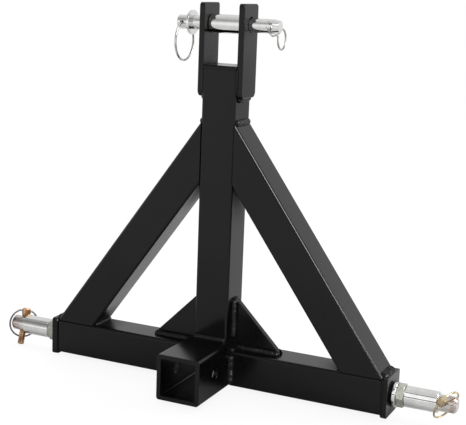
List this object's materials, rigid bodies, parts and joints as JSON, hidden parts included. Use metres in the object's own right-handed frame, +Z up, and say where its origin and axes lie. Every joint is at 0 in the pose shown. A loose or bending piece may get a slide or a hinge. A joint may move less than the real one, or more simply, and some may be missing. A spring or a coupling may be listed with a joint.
{
  "type": "three point hitch adapter",
  "caption": "Welded A frame that carries a square receiver socket on a tractor's three point hitch, with top and lower link pins.",
  "frame": {"origin": "middle of the bar on its underside, which is also the receiver's underside, in the plane of the A frame", "axes": "+X along the bar to the right, +Y towards the back, away from the receiver's mouth, +Z up the mast"},
  "size_m": [0.6954, 0.1694, 0.5314],
  "materials": {
    "black_coat": "satin black powder coat",
    "bright_zinc": "bright zinc plate",
    "dull_zinc": "dull zinc plate",
    "yellow_zinc": "yellow zinc plate",
    "dark_wire": "dark spring steel wire",
    "spring_wire": "plated spring steel wire"
  },
  "bodies": {
    "frame": {"receiver_tube": "black_coat", "mast_tube": "black_coat", "mast_cap": "black_coat", "right_cross_tube": "black_coat", "right_brace": "black_coat", "right_end_plate": "black_coat", "right_end_plate_weld": "black_coat", "right_gusset": "black_coat", "right_ear": "black_coat", "right_lock_washer": "bright_zinc", "right_washer": "bright_zinc", "right_nut": "dull_zinc", "right_inner_nut": "dull_zinc", "left_cross_tube": "black_coat", "left_brace": "black_coat", "left_end_plate": "black_coat", "left_end_plate_weld": "black_coat", "left_gusset": "black_coat", "left_ear": "black_coat", "left_lock_washer": "bright_zinc", "left_washer": "bright_zinc", "left_nut": "dull_zinc", "left_inner_nut": "dull_zinc", "right_lower_pin": "bright_zinc", "right_lynch_pin": "yellow_zinc", "left_lower_pin": "bright_zinc", "left_lynch_pin": "yellow_zinc", "receiver_welds": "black_coat", "mast_foot_weld": "black_coat", "gusset_welds": "black_coat", "brace_welds": "black_coat", "ear_welds": "black_coat"},
    "link_pin": {"top_link_pin": "bright_zinc", "hair_pin_clip": "spring_wire"},
    "top_sleeve": {"top_sleeve": "bright_zinc"},
    "pull_ring": {"pull_ring": "spring_wire"},
    "left_lynch_ring": {"left_lynch_ring": "dark_wire"},
    "right_lynch_ring": {"right_lynch_ring": "yellow_zinc"},
    "left_bushing": {"left_bushing": "bright_zinc"},
    "right_bushing": {"right_bushing": "bright_zinc"}
  },
  "joints": [
    {"name": "top_pin_slide", "type": "slide", "parent": "frame", "child": "link_pin", "axis": [1, 0, 0], "range_m": [-0.0287, 0.019]},
    {"name": "pull_ring_swing", "type": "hinge", "parent": "link_pin", "child": "pull_ring", "pos_m": [-0.066, 0, 0.497], "axis": [0, 1, 0], "range_deg": [-30, 180]},
    {"name": "top_sleeve_turn", "type": "hinge", "parent": "frame", "child": "top_sleeve", "pos_m": [0, 0, 0.497], "axis": [1, 0, 0], "continuous": true},
    {"name": "left_bushing_turn", "type": "hinge", "parent": "frame", "child": "left_bushing", "pos_m": [-0.30075, 0, 0.025], "axis": [1, 0, 0], "continuous": true},
    {"name": "right_bushing_turn", "type": "hinge", "parent": "frame", "child": "right_bushing", "pos_m": [0.30075, 0, 0.025], "axis": [1, 0, 0], "continuous": true},
    {"name": "left_lynch_ring_swing", "type": "hinge", "parent": "frame", "child": "left_lynch_ring", "pos_m": [-0.33, 0.00603, 0.04355], "axis": [0.6691, 0.7068, -0.2296], "range_deg": [0, 170]},
    {"name": "right_lynch_ring_swing", "type": "hinge", "parent": "frame", "child": "right_lynch_ring", "pos_m": [0.33, -0.01767, 0.03324], "axis": [-0.5446, -0.3544, -0.7601], "range_deg": [0, 170]}
  ]
}
